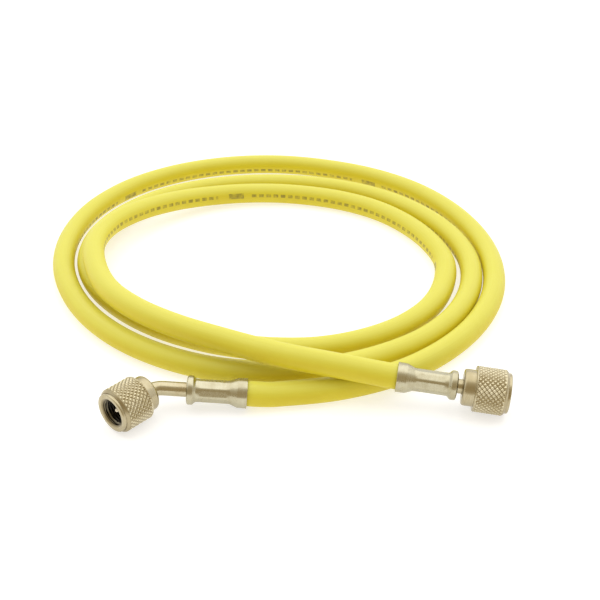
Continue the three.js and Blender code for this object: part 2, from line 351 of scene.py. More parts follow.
class Nodes:
    """Short ways to add and join shader nodes in one tree."""

    def __init__(self, tree: bpy.types.NodeTree) -> None:
        """Keeps the tree that nodes are added to."""
        self.tree = tree

    def add(self, kind: str, **settings: object) -> bpy.types.Node:
        """Adds a node.

        Args:
            kind: Blender's node type name.
            **settings: Attributes to set on the node.

        Returns:
            The node.
        """
        node = self.tree.nodes.new(kind)
        for key, value in settings.items():
            setattr(node, key, value)
        return node

    def join(self, source: bpy.types.NodeSocket, target: bpy.types.NodeSocket) -> None:
        """Joins an output to an input."""
        self.tree.links.new(source, target)

    def feed(self, socket: bpy.types.NodeSocket, value: object) -> None:
        """Joins an output, or sets a plain value, on an input."""
        if isinstance(value, bpy.types.NodeSocket):
            self.join(value, socket)
        else:
            socket.default_value = value

    def math(self, operation: str, a: object, b: object = 0.0,
             c: object = 0.0) -> bpy.types.NodeSocket:
        """Adds a math node and returns its output."""
        node = self.add("ShaderNodeMath", operation=operation)
        for socket, value in zip(node.inputs, (a, b, c)):
            self.feed(socket, value)
        return node.outputs[0]

    def span(self, value: object, low: float, high: float, to_low: float = 0.0,
             to_high: float = 1.0, smooth: bool = False) -> bpy.types.NodeSocket:
        """Adds a clamped map range node and returns its output."""
        kind = "SMOOTHSTEP" if smooth else "LINEAR"
        node = self.add("ShaderNodeMapRange", interpolation_type=kind)
        self.feed(node.inputs["Value"], value)
        limits = {"From Min": low, "From Max": high, "To Min": to_low, "To Max": to_high}
        for key, number in limits.items():
            self.feed(node.inputs[key], number)
        return node.outputs["Result"]

    def weighted(self, a: object, part_a: float, b: object, part_b: float) -> bpy.types.NodeSocket:
        """Adds two values, each times its own part."""
        return self.math("ADD", self.math("MULTIPLY", a, part_a), self.math("MULTIPLY", b, part_b))

    def mix(self, factor: object, a: object, b: object) -> bpy.types.NodeSocket:
        """Adds a colour mix node and returns its colour."""
        node = self.add("ShaderNodeMix", data_type="RGBA")
        self.feed(node.inputs["Factor"], factor)
        self.feed(node.inputs["A"], a)
        self.feed(node.inputs["B"], b)
        return node.outputs["Result"]

    def noise(self, vector: object, scale: object, detail: float = 3.0,
              roughness: float = 0.5) -> bpy.types.NodeSocket:
        """Adds a noise texture and returns its value."""
        node = self.add("ShaderNodeTexNoise")
        self.feed(node.inputs["Vector"], vector)
        self.feed(node.inputs["Scale"], scale)
        node.inputs["Detail"].default_value = detail
        node.inputs["Roughness"].default_value = roughness
        return node.outputs["Fac"]

    def stretched(self, vector: object, factors: Point) -> bpy.types.NodeSocket:
        """Multiplies a vector by fixed factors."""
        node = self.add("ShaderNodeVectorMath", operation="MULTIPLY")
        self.feed(node.inputs[0], vector)
        node.inputs[1].default_value = tuple(factors)
        return node.outputs[0]


class SharedGroup:
    """A shader node group that more than one material places."""

    name = "group"
    inputs: Sequence[tuple[str, str, object]] = ()
    outputs: Sequence[tuple[str, str]] = ()

    def __init__(self) -> None:
        """Makes the group's tree with its named sockets and fills it."""
        self.tree = bpy.data.node_groups.new(self.name, "ShaderNodeTree")
        for label, kind, default in self.inputs:
            socket = self.tree.interface.new_socket(name=label, in_out="INPUT", socket_type=kind)
            if default is not None:
                socket.default_value = default
        for label, kind in self.outputs:
            self.tree.interface.new_socket(name=label, in_out="OUTPUT", socket_type=kind)
        nodes = Nodes(self.tree)
        self.fill(nodes, nodes.add("NodeGroupInput").outputs, nodes.add("NodeGroupOutput").inputs)

    def fill(self, nodes: Nodes, given: bpy.types.bpy_prop_collection,
             out: bpy.types.bpy_prop_collection) -> None:
        """Adds the group's own nodes between its inputs and outputs."""
        raise NotImplementedError

    def place(self, nodes: Nodes, **values: object) -> bpy.types.bpy_prop_collection:
        """Puts the group into a material.

        Args:
            nodes: The material's nodes.
            **values: Values or outputs for the group's inputs, with _ for a space.

        Returns:
            The group node's outputs.
        """
        node = nodes.add("ShaderNodeGroup", node_tree=self.tree)
        for key, value in values.items():
            nodes.feed(node.inputs[key.replace("_", " ")], value)
        return node.outputs


class FineGrain(SharedGroup):
    """Small even roughness of a surface, as a height."""

    name = "fine_grain"
    inputs = (("Vector", "NodeSocketVector", None), ("Scale", "NodeSocketFloat", 1500.0))
    outputs = (("Height", "NodeSocketFloat"),)

    def fill(self, nodes: Nodes, given: bpy.types.bpy_prop_collection,
             out: bpy.types.bpy_prop_collection) -> None:
        """Mixes a fine and a very fine noise."""
        fine = nodes.noise(given["Vector"], given["Scale"], 2.0, 0.6)
        coarse = nodes.noise(given["Vector"], nodes.math("MULTIPLY", given["Scale"], 0.3), 2.0, 0.5)
        nodes.join(nodes.weighted(fine, 0.6, coarse, 0.4), out["Height"])


class Handling(SharedGroup):
    """Soft blotches left by handling, as a mask from 0 to 1."""

    name = "handling_marks"
    inputs = (("Vector", "NodeSocketVector", None), ("Scale", "NodeSocketFloat", 60.0),
              ("Amount", "NodeSocketFloat", 0.5))
    outputs = (("Mask", "NodeSocketFloat"),)

    def fill(self, nodes: Nodes, given: bpy.types.bpy_prop_collection,
             out: bpy.types.bpy_prop_collection) -> None:
        """Thresholds a two-scale noise softly."""
        broad = nodes.noise(given["Vector"], given["Scale"], 4.0, 0.55)
        small = nodes.noise(given["Vector"], nodes.math("MULTIPLY", given["Scale"], 5.0), 3.0, 0.6)
        both = nodes.weighted(broad, 0.7, small, 0.3)
        blotches = nodes.span(both, 0.42, 0.66, smooth=True)
        nodes.join(nodes.math("MULTIPLY", blotches, given["Amount"]), out["Mask"])


class TurningMarks(SharedGroup):
    """Fine rings left by a lathe tool, as a height. The vector's x runs along the profile."""

    name = "turning_marks"
    inputs = (("Vector", "NodeSocketVector", None), ("Pitch", "NodeSocketFloat", 9000.0))
    outputs = (("Height", "NodeSocketFloat"), ("Variation", "NodeSocketFloat"))

    def fill(self, nodes: Nodes, given: bpy.types.bpy_prop_collection,
             out: bpy.types.bpy_prop_collection) -> None:
        """Stretches noise round the axis so that it makes rings."""
        along = nodes.stretched(given["Vector"], (1.0, 0.0004, 1.0))
        nodes.join(nodes.noise(along, given["Pitch"], 2.0, 0.7), out["Height"])
        broad = nodes.stretched(given["Vector"], (1.0, 0.004, 1.0))
        nodes.join(nodes.noise(broad, nodes.math("MULTIPLY", given["Pitch"], 0.12), 3.0, 0.5),
                   out["Variation"])


GROUPS = {"grain": FineGrain(), "handling": Handling(), "turning": TurningMarks()}


# ---------------------------------------------------------------------------
# Finishes


def begin_material(name: str) -> tuple[bpy.types.Material, Nodes, bpy.types.Node]:
    """Makes a material with one Principled shader.

    Args:
        name: Name of the material.

    Returns:
        The material, its nodes and the shader.
    """
    material = bpy.data.materials.new(name)
    material.use_nodes = True
    nodes = Nodes(material.node_tree)
    shader = material.node_tree.nodes["Principled BSDF"]
    return material, nodes, shader


def bump(nodes: Nodes, height: bpy.types.NodeSocket, distance: float,
         strength: float = 1.0) -> bpy.types.NodeSocket:
    """Adds a bump node of a real depth in metres and returns its normal."""
    node = nodes.add("ShaderNodeBump")
    node.inputs["Distance"].default_value = distance
    node.inputs["Strength"].default_value = strength
    nodes.join(height, node.inputs["Height"])
    return node.outputs["Normal"]


@dataclass(frozen=True)
class HoseRubber:
    """Smooth extruded yellow jacket with a worn lay line of plain dashes and blocks.

    The lay line's places along the hose are parts of one repeat, and its widths are in turns
    round the hose.
    """

    name: str = Slot.HOSE.value
    colour: Colour = (0.70, 0.60, 0.014, 1.0)
    # Painted highlight: paler colour laid on the surfaces of the jacket that face up.
    painted_top_light: Colour = (0.72, 0.685, 0.085, 1.0)
    shade: Colour = (0.65, 0.53, 0.014, 1.0)
    ink: Colour = (0.15, 0.115, 0.02, 1.0)
    roughness: float = 0.45
    grain_scale: float = 1400.0
    line_start: float = 0.322
    line_turn: float = 0.0667
    line_half_width: float = 0.048
    repeat: float = 0.152
    block_start: float = 0.02
    block_end: float = 0.078
    dashes_start: float = 0.12
    dashes_in_repeat: float = 36.0
    dash_part: float = 0.62
    dash_height: float = 0.5
    mark_edge: float = 0.001
    wear_scale: float = 420.0
    blotch_scale: float = 38.0
    bump_depth: float = 0.12 * MM
    bump_strength: float = 0.55

    def lay_line(self, nodes: Nodes, along: bpy.types.NodeSocket,
                 around: bpy.types.NodeSocket) -> bpy.types.NodeSocket:
        """Builds the mask of the dashes and blocks.

        Args:
            nodes: The material's nodes.
            along: Distance along the hose in metres.
            around: Place round the hose in turns.

        Returns:
            The mask, 1 on ink.
        """
        turned = nodes.math("MULTIPLY", along, self.line_turn)
        centre = nodes.math("SUBTRACT", self.line_start, turned)
        off = nodes.math("ABSOLUTE", nodes.math("SUBTRACT", around, centre))
        place = nodes.math("FRACT", nodes.math("DIVIDE", along, self.repeat))

        dash = nodes.math("FRACT", nodes.math("MULTIPLY", place, self.dashes_in_repeat))
        dash = nodes.span(dash, self.dash_part, self.dash_part + 0.04, 1.0, 0.0)
        begun = nodes.span(place, self.dashes_start, self.dashes_start + self.mark_edge)
        low = self.line_half_width * self.dash_height
        thin = nodes.span(off, low, low + self.line_half_width * 0.08, 1.0, 0.0)
        dashes = nodes.math("MULTIPLY", nodes.math("MULTIPLY", dash, begun), thin)

        begun = nodes.span(place, self.block_start, self.block_start + self.mark_edge)
        ended = nodes.span(place, self.block_end, self.block_end + self.mark_edge, 1.0, 0.0)
        band = nodes.span(off, self.line_half_width * 0.9, self.line_half_width, 1.0, 0.0)
        block = nodes.math("MULTIPLY", nodes.math("MULTIPLY", begun, ended), band)
        return nodes.math("MAXIMUM", dashes, block)

    def jacket_colour(self, nodes: Nodes, place: bpy.types.bpy_prop_collection,
                      blotches: bpy.types.NodeSocket) -> bpy.types.NodeSocket:
        """Builds the jacket's colour without its marks.

        Args:
            nodes: The material's nodes.
            place: Outputs of the texture coordinate node.
            blotches: Mask of the handling marks.

        Returns:
            The colour, with a painted highlight where the jacket faces up and faint streaks along
            it.
        """
        upright = nodes.add("ShaderNodeSeparateXYZ")
        nodes.join(place["Normal"], upright.inputs[0])
        # Painted highlight: the more a face points up, the paler it is painted.
        painted_top_light_mask = nodes.span(upright.outputs["Z"], 0.1, 0.95, smooth=True)
        base = nodes.mix(nodes.math("MULTIPLY", blotches, 0.6), self.colour, self.shade)
        base = nodes.mix(painted_top_light_mask, base, self.painted_top_light)
        streaks = nodes.noise(nodes.stretched(place["UV"], (1.0, 6.0, 1.0)), 14.0, 3.0, 0.5)
        return nodes.mix(nodes.span(streaks, 0.35, 0.75, 0.0, 0.18), base, self.shade)

    def build(self) -> bpy.types.Material:
        """Returns the material."""
        material, nodes, shader = begin_material(self.name)
        place = nodes.add("ShaderNodeTexCoord").outputs
        split = nodes.add("ShaderNodeSeparateXYZ")
        nodes.join(place["UV"], split.inputs[0])
        blotches = GROUPS["handling"].place(
            nodes, Vector=place["Object"], Scale=self.blotch_scale, Amount=0.8)["Mask"]
        base = self.jacket_colour(nodes, place, blotches)
        marks = self.lay_line(nodes, split.outputs["X"], split.outputs["Y"])
        worn = nodes.noise(place["Object"], self.wear_scale, 3.0, 0.65)
        ink = nodes.math("MULTIPLY", marks, nodes.span(worn, 0.32, 0.62, 0.2, 0.72))
        nodes.join(nodes.mix(ink, base, self.ink), shader.inputs["Base Color"])
        grain = GROUPS["grain"].place(
            nodes, Vector=place["Object"], Scale=self.grain_scale)["Height"]
        rough = nodes.span(grain, 0.3, 0.7, self.roughness - 0.05, self.roughness + 0.07)
        rough = nodes.math("ADD", rough, nodes.math("MULTIPLY", blotches, 0.1))
        nodes.join(rough, shader.inputs["Roughness"])
        extrusion = nodes.noise(nodes.stretched(place["UV"], (0.4, 60.0, 1.0)), 6.0, 2.0, 0.6)
        height = nodes.weighted(grain, 0.7, extrusion, 0.5)
        nodes.join(bump(nodes, height, self.bump_depth, self.bump_strength),
                   shader.inputs["Normal"])
        return material


@dataclass(frozen=True)
class Plating:
    """Nickel plating over brass, turned and lightly tarnished."""

    name: str
    colour: Colour
    tarnish: Colour
    roughness: float
    turning_pitch: float = 9000.0
    turning_depth: float = 0.02 * MM
    blotch_scale: float = 130.0
    grain_scale: float = 3000.0
    # How strongly the cavity attribute mixes in tarnish and painted shade.
    grime_and_shade: float = 0.0
    grime_and_shade_colour: Colour = (0.19, 0.13, 0.045, 1.0)
    # Painted shade: near-black colour laid inside the socket.
    recess_painted_shade: Colour = (0.035, 0.03, 0.024, 1.0)

    def build(self) -> bpy.types.Material:
        """Returns the material.

        Where grime_and_shade is over 0, the mesh's cavity attribute darkens its grooves with
        tarnish and painted shade, and the recess attribute paints shade inside its socket.
        """
        material, nodes, shader = begin_material(self.name)
        place = nodes.add("ShaderNodeTexCoord").outputs
        marks = GROUPS["handling"].place(
            nodes, Vector=place["Object"], Scale=self.blotch_scale, Amount=0.7)["Mask"]
        turning = GROUPS["turning"].place(nodes, Vector=place["UV"], Pitch=self.turning_pitch)
        colour = nodes.mix(marks, self.colour, self.tarnish)
        dulled = nodes.span(turning["Variation"], 0.35, 0.7, 0.0, 0.3)
        colour = nodes.mix(dulled, colour, self.tarnish)
        rough = nodes.math("ADD", self.roughness, nodes.math("MULTIPLY", marks, 0.14))
        rough = nodes.math("ADD", rough, nodes.span(turning["Height"], 0.3, 0.7, -0.03, 0.05))
        if self.grime_and_shade > 0.0:
            cavity = nodes.add("ShaderNodeAttribute", attribute_name="cavity").outputs["Fac"]
            # Tarnish and painted shade darken the grooves.
            grime_and_shade_mask = nodes.math("MULTIPLY", cavity, self.grime_and_shade)
            colour = nodes.mix(grime_and_shade_mask, colour, self.grime_and_shade_colour)
            # Painted shade inside the socket, from the recess attribute.
            recess = nodes.add("ShaderNodeAttribute", attribute_name="recess").outputs["Fac"]
            colour = nodes.mix(recess, colour, self.recess_painted_shade)
            rough = nodes.math("ADD", rough, nodes.math("MULTIPLY", grime_and_shade_mask, 0.08))
        nodes.join(colour, shader.inputs["Base Color"])
        nodes.join(rough, shader.inputs["Roughness"])
        grain = GROUPS["grain"].place(
            nodes, Vector=place["Object"], Scale=self.grain_scale)["Height"]
        height = nodes.math("ADD", turning["Height"], nodes.math("MULTIPLY", grain, 0.5))
        nodes.join(bump(nodes, height, self.turning_depth, 0.6), shader.inputs["Normal"])
        shader.inputs["Metallic"].default_value = 1.0
        return material


@dataclass(frozen=True)
class SealRubber:
    """Black moulded seal."""

    name: str = Slot.SEAL.value
    colour: Colour = (0.018, 0.018, 0.018, 1.0)
    bloom: Colour = (0.07, 0.068, 0.062, 1.0)
    roughness: float = 0.62
    bump_depth: float = 0.05 * MM

    def build(self) -> bpy.types.Material:
        """Returns the material."""
        material, nodes, shader = begin_material(self.name)
        place = nodes.add("ShaderNodeTexCoord").outputs["Object"]
        marks = GROUPS["handling"].place(nodes, Vector=place, Scale=200.0, Amount=0.6)
        nodes.join(nodes.mix(marks["Mask"], self.colour, self.bloom), shader.inputs["Base Color"])
        grain = GROUPS["grain"].place(nodes, Vector=place, Scale=2500.0)
        rough = nodes.span(grain["Height"], 0.3, 0.7, self.roughness - 0.08, self.roughness + 0.08)
        nodes.join(rough, shader.inputs["Roughness"])
        nodes.join(bump(nodes, grain["Height"], self.bump_depth), shader.inputs["Normal"])
        return material


def dress_piece(obj: bpy.types.Object, finish: bpy.types.Material, node: str,
                body: Body) -> None:
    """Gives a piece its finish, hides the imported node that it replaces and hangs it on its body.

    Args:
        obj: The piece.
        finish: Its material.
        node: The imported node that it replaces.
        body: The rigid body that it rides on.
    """
    obj.data.materials.append(finish)
    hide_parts(node)
    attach(obj, body.value)


# ---------------------------------------------------------------------------
# The hose


def centripetal(points: np.ndarray, per_span: int) -> np.ndarray:
    """Centripetal Catmull-Rom curve through stations, with mirrored end points.

    Args:
        points: (n, 3) stations.
        per_span: Steps between two stations.

    Returns:
        Points along the curve, the last station included.
    """
    n = len(points)
    out = []
    for i in range(n - 1):
        p1, p2 = points[i], points[i + 1]
        p0 = points[i - 1] if i > 0 else 2 * points[0] - points[1]
        p3 = points[i + 2] if i + 2 < n else 2 * points[-1] - points[-2]
        gaps = (p1 - p0, p2 - p1, p3 - p2)
        d = [max(float(np.linalg.norm(gap)), 1e-9) ** 0.5 for gap in gaps]
        m1 = ((p1 - p0) / d[0] - (p2 - p0) / (d[0] + d[1]) + (p2 - p1) / d[1]) * d[1]
        m2 = ((p2 - p1) / d[1] - (p3 - p1) / (d[1] + d[2]) + (p3 - p2) / d[2]) * d[1]
        cubic = 2 * p1 - 2 * p2 + m1 + m2
        square = -3 * p1 + 3 * p2 - 2 * m1 - m2
        for t in np.arange(per_span) / per_span:
            out.append(cubic * t ** 3 + square * t ** 2 + m1 * t + p1)
    out.append(points[-1])
    return np.array(out)


@dataclass
class Hose:
    """The coiled rubber hose from one ferrule to the other."""

    radius: float = 5.25 * MM
    squeezed_bell: float = 5.05 * MM
    squeezed_crimp: float = 3.95 * MM
    bell_length: float = 4.1 * MM
    crimp_start: float = 7.1 * MM
    inside_length: float = 22.6 * MM
    inside_first: float = 1.6 * MM
    inside_step: float = 3.0 * MM
    inside_rings: int = 5
    swell: float = 0.06 * MM
    swell_place: float = 3.0 * MM
    swell_width: float = 2.5 * MM
    mouth_zone: float = 0.4 * MM
    mouth_ease: float = 0.15 * MM
    steps_per_station: int = 12
    around: int = 36
    ring_step: float = 2.6 * MM
    centre: tuple[float, float] = (0.5, 6.27)
    first_station: float = -90.0
    station_step: float = 15.0
    outer_turn: tuple[float, ...] = (
        105.5, 104.7, 105.0, 105.1, 105.5, 105.9, 105.7, 105.5, 105.9, 107.0, 107.7, 108.6,
        111.0, 113.3, 115.2, 116.0, 114.3, 110.5, 105.9, 101.1, 97.3, 94.3, 92.3, 91.4,
    )
    middle_turn: tuple[float, ...] = (
        90.7, 90.6, 91.4, 93.2, 94.5, 95.0, 94.7, 92.8, 90.5, 88.5, 86.8, 85.8,
        86.1, 88.1, 91.1, 94.5, 96.4, 96.7, 93.9, 88.4, 82.3, 77.6, 74.4, 73.1,
    )
    inner_turn: tuple[float, ...] = (
        73.5, 75.4, 77.4, 79.8, 81.7, 82.3, 82.4, 79.8, 77.4, 75.7, 74.1, 73.3,
        74.0, 75.5, 77.8, 81.0, 84.9, 88.6, 89.5, 88.1, 87.4, 86.3, 86.0, 88.0,
    )
    crossing: tuple[float, ...] = (94.6, 104.7)
    climb: tuple[float, ...] = (
        5.4, 6.0, 7.2, 9.2, 11.4, 13.5, 15.5, 16.3, 17.1, 18.1, 18.6, 18.7, 18.3, 16.6,
    )
    line: np.ndarray = field(default_factory=lambda: np.zeros((0, 3)), init=False)

    def stations(self) -> np.ndarray:
        """Returns the points of the route between the two bell mouths, in metres."""
        radii = (*self.outer_turn, *self.middle_turn, *self.inner_turn, *self.crossing)
        low = len(radii) - len(self.climb)
        points = [np.array(LAYOUT.elbow_bell)]
        for i, radius in enumerate(radii):
            angle = math.radians(self.first_station + i * self.station_step)
            height = self.radius if i < low else self.climb[i - low] * MM
            points.append(np.array([
                (self.centre[0] + radius * math.cos(angle)) * MM,
                (self.centre[1] + radius * math.sin(angle)) * MM,
                height,
            ]))
        points.append(LAYOUT.straight_ferrule().origin)
        return np.array(points)

    def inside(self, ferrule: Placement) -> np.ndarray:
        """Returns the hose's points inside a ferrule, from its bell mouth inwards."""
        marks = [self.inside_first, self.bell_length, self.crimp_start]
        deep = self.crimp_start + self.inside_step
        marks += list(np.linspace(deep, self.inside_length, self.inside_rings))
        return np.array([ferrule.along(m) for m in marks])

    def build(self) -> bpy.types.Object:
        """Returns the hose as one closed tube that swells a little where it enters a ferrule."""
        curve = centripetal(self.stations(), self.steps_per_station)
        lengths = path_lengths(curve)
        count = int(round(lengths[-1] / self.ring_step))
        marks = np.linspace(0.0, lengths[-1], count)
        middle = np.stack([np.interp(marks, lengths, curve[:, k]) for k in range(3)], -1)
        middle[:, 2] = np.maximum(middle[:, 2], self.radius)
        first = self.inside(LAYOUT.elbow_ferrule())[::-1]
        last = self.inside(LAYOUT.straight_ferrule())
        self.line = np.vstack([first, middle, last])
        from_mouth = np.minimum(marks, lengths[-1] - marks)
        swell = self.swell * np.exp(-((from_mouth - self.swell_place) / self.swell_width) ** 2)
        mouth = self.squeezed_bell + self.mouth_ease
        body = np.where(from_mouth < self.mouth_zone, mouth, self.radius + swell)
        crimped = [self.squeezed_crimp] * (self.inside_rings + 1)
        necks = np.array([self.squeezed_bell, self.squeezed_bell] + crimped)
        radii = np.r_[necks[::-1], body, necks]
        rings = sweep_rings(self.line, radii, self.around, (0.0, 0.0, 1.0))
        return ring_object("hose_jacket", rings, path_lengths(self.line), closed=False)

    def dress(self, obj: bpy.types.Object) -> None:
        """Gives the hose its rubber."""
        dress_piece(obj, HoseRubber().build(), "hose", Body.HOSE)


# ---------------------------------------------------------------------------
# Ferrules and stems


@dataclass
class Ferrule:
    """Crimped sleeve that holds the hose on its stem."""

    name: str
    node: str
    where: Placement
    length: float = 25.1 * MM
    wall: float = 0.5 * MM
    bell_radius: float = 6.25 * MM
    bell_taper: float = 0.15 * MM
    bell_length: float = 4.4 * MM
    crimp_start: float = 7.4 * MM
    crimp_radius: float = 4.75 * MM
    collar_radius: float = 6.05 * MM
    collar_length: float = 3.2 * MM
    end_wall: float = 2.2 * MM
    hole_radius: float = 3.3 * MM
    mouth_gap: float = 0.3 * MM
    jaws: int = 8
    jaw_turn: float = 0.4
    flat_half_angle: float = 0.30
    flat_ramp_in: float = 1.2 * MM
    flat_ramp_out: float = 1.8 * MM
    flat_end_gap: float = 0.6 * MM
    flat_skin: float = 0.2 * MM
    row_step: float = 0.6 * MM
    around: int = 96

    def profile(self) -> np.ndarray:
        """Returns the closed profile of the sleeve, outside first."""
        collar = self.length - self.collar_length
        inner_bell = self.bell_radius - self.bell_taper - self.wall
        inner_crimp = self.crimp_radius - self.wall
        rows = [
            (inner_bell, self.mouth_gap, 0.1 * MM),
            (self.bell_radius, self.mouth_gap, 0.2 * MM),
            (self.bell_radius - self.bell_taper, self.bell_length - 0.1 * MM, 0.6 * MM),
            (self.crimp_radius + 0.1 * MM, self.crimp_start, 0.6 * MM),
            (self.crimp_radius + 0.05 * MM, self.crimp_start + 0.9 * MM, 0.0),
            (self.crimp_radius, self.crimp_start + 1.6 * MM, 0.0),
            (self.crimp_radius, collar - 2.4 * MM, 0.0),
            (self.crimp_radius + 0.08 * MM, collar - 0.5 * MM, 0.8 * MM),
            (self.collar_radius, collar + 0.65 * MM, 0.9 * MM),
            (self.collar_radius, self.length - 0.35 * MM, 0.9 * MM),
            (self.collar_radius - 1.1 * MM, self.length, 0.4 * MM),
            (self.hole_radius, self.length, 0.15 * MM),
            (self.hole_radius, self.length - self.end_wall, 0.0),
            (inner_crimp, self.length - self.end_wall, 0.0),
            (inner_crimp, self.crimp_start, 0.0),
            (inner_bell, self.bell_length, 0.0),
        ]
        return rounded(rows)

    def facets(self, rings: np.ndarray) -> np.ndarray:
        """Presses the jaws' flats into the crimped stretch.

        Args:
            rings: Local points of the sleeve.

        Returns:
            The points with the outside of the crimp pressed flat between narrow ridges.
        """
        out = rings.copy()
        radius = np.hypot(out[..., 0], out[..., 1])
        angle = np.arctan2(out[..., 1], out[..., 0])
        z = out[..., 2]
        collar = self.length - self.collar_length
        start = np.clip((z - self.crimp_start) / self.flat_ramp_in, 0.0, 1.0)
        stop = np.clip((collar - self.flat_end_gap - z) / self.flat_ramp_out, 0.0, 1.0)
        outside = radius > self.crimp_radius - self.flat_skin
        pitch = TAU / self.jaws
        half = self.flat_half_angle
        from_ridge = np.abs((angle + self.jaw_turn) % pitch - pitch / 2)
        from_middle = np.clip(pitch / 2 - from_ridge, 0.0, half)
        flat = np.minimum(math.cos(half) / np.cos(from_middle), 1.0)
        pressed = 1.0 - (1.0 - flat) * start * stop * outside
        out[..., 0] *= pressed
        out[..., 1] *= pressed
        return out

    def build(self) -> bpy.types.Object:
        """Returns the sleeve."""
        profile = self.profile()
        dense = [profile[0]]
        for a, b in zip(profile[:-1], profile[1:]):
            steps = max(1, int(abs(b[1] - a[1]) / self.row_step))
            dense += [a + (b - a) * k / steps for k in range(1, steps + 1)]
        profile = np.array(dense)
        rings = placed(self.facets(turned_rings(profile, self.around)), self.where)
        return ring_object(self.name, rings, profile_lengths(profile, True), closed=True,
                           sharp_angle=32.0)

    def dress(self, obj: bpy.types.Object, finish: bpy.types.Material) -> None:
        """Plates the sleeve."""
        dress_piece(obj, finish, self.node, Body.HOSE)


@dataclass
class Stem:
    """Stem tube from its barb in the hose, through the ferrule, to its flange in the nut."""

    name: str
    node: str
    ferrule: Placement
    nut: Placement
    corner: Optional[np.ndarray] = None
    radius: float = 3.0 * MM
    bore: float = 1.5 * MM
    barb_radius: float = 2.4 * MM
    barb_start: float = 2.5 * MM
    shaft_start: float = 23.2 * MM
    bend_radius: float = 8.0 * MM
    flange_radius: float = 4.65 * MM
    flange_front: float = 14.4 * MM
    flange_back: float = 16.2 * MM
    counterbore: float = 0.0
    counterbore_depth: float = 1.4 * MM
    edge: float = 0.2 * MM
    around: int = 48

    def centre_line(self) -> tuple[np.ndarray, np.ndarray]:
        """Returns the points of the stem's axis from barb to flange front, and their distances."""
        start = self.ferrule.along(self.barb_start)
        end = self.nut.along(-self.flange_front)
        if self.corner is None:
            points = np.array([start + (end - start) * t for t in np.linspace(0.0, 1.0, 60)])
        else:
            turn = math.acos(float(np.clip(self.ferrule.axis @ self.nut.axis, -1.0, 1.0)))
            reach = self.bend_radius * math.tan(turn / 2)
            bend_in = self.corner - self.ferrule.axis * reach
            bend_out = self.corner + self.nut.axis * reach
            first = [start + (bend_in - start) * t for t in np.linspace(0.0, 1.0, 50)[:-1]]
            bend = [(1 - t) ** 2 * bend_in + 2 * t * (1 - t) * self.corner + t ** 2 * bend_out
                    for t in np.linspace(0.0, 1.0, 17)]
            last = [bend_out + (end - bend_out) * t for t in np.linspace(0.0, 1.0, 12)[1:]]
            points = np.array(first + bend + last)
        return points, path_lengths(points)

    def build(self) -> bpy.types.Object:
        """Returns the stem with its bore, as one closed solid."""
        points, marks = self.centre_line()
        total = marks[-1]
        shaft = self.shaft_start - self.barb_start
        flange = total - (self.flange_back - self.flange_front)
        outer = [
            (0.0, self.barb_radius - 0.3 * MM),
            (0.6 * MM, self.barb_radius),
            (shaft, self.barb_radius),
            (shaft + 0.02 * MM, self.radius - 0.1 * MM),
            (shaft + 0.15 * MM, self.radius),
            (flange - 0.25 * MM, self.radius),
            (flange, self.radius + 0.25 * MM),
            (flange + 0.02 * MM, self.flange_radius - self.edge),
            (flange + self.edge, self.flange_radius),
            (total - self.edge, self.flange_radius),
            (total, self.flange_radius - self.edge),
        ]
        keys = np.array([row[0] for row in outer])
        sizes = np.array([row[1] for row in outer])
        stations = np.unique(np.r_[keys, marks])
        centre = np.stack([np.interp(stations, marks, points[:, k]) for k in range(3)], -1)
        up = (0.0, 0.0, 1.0)
        out_rings = sweep_rings(centre, np.interp(stations, keys, sizes), self.around, up)
        bore_sizes = np.full(len(stations), self.bore)
        if self.counterbore > 0.0:
            bore_sizes[stations > total - self.counterbore_depth] = self.counterbore
        in_rings = sweep_rings(centre, bore_sizes, self.around, up)
        rings = np.concatenate([out_rings, in_rings[::-1]])
        u = np.r_[stations, total + 0.002 + (total - stations[::-1]), 2 * total + 0.004]
        return ring_object(self.name, rings, u, closed=True)

    def dress(self, obj: bpy.types.Object, finish: bpy.types.Material) -> None:
        """Plates the stem."""
        dress_piece(obj, finish, self.node, Body.HOSE)


# ---------------------------------------------------------------------------
# Nuts, gaskets and the depressor


@dataclass(frozen=True)
class NutRing:
    """One ring of the nut, with single values or values round the axis.

    The cavity value gives tarnish and painted shade, and the recess value painted shade.
    """

    radius: float | np.ndarray
    z: float
    cavity: float | np.ndarray
    recess: float | np.ndarray = 0.0


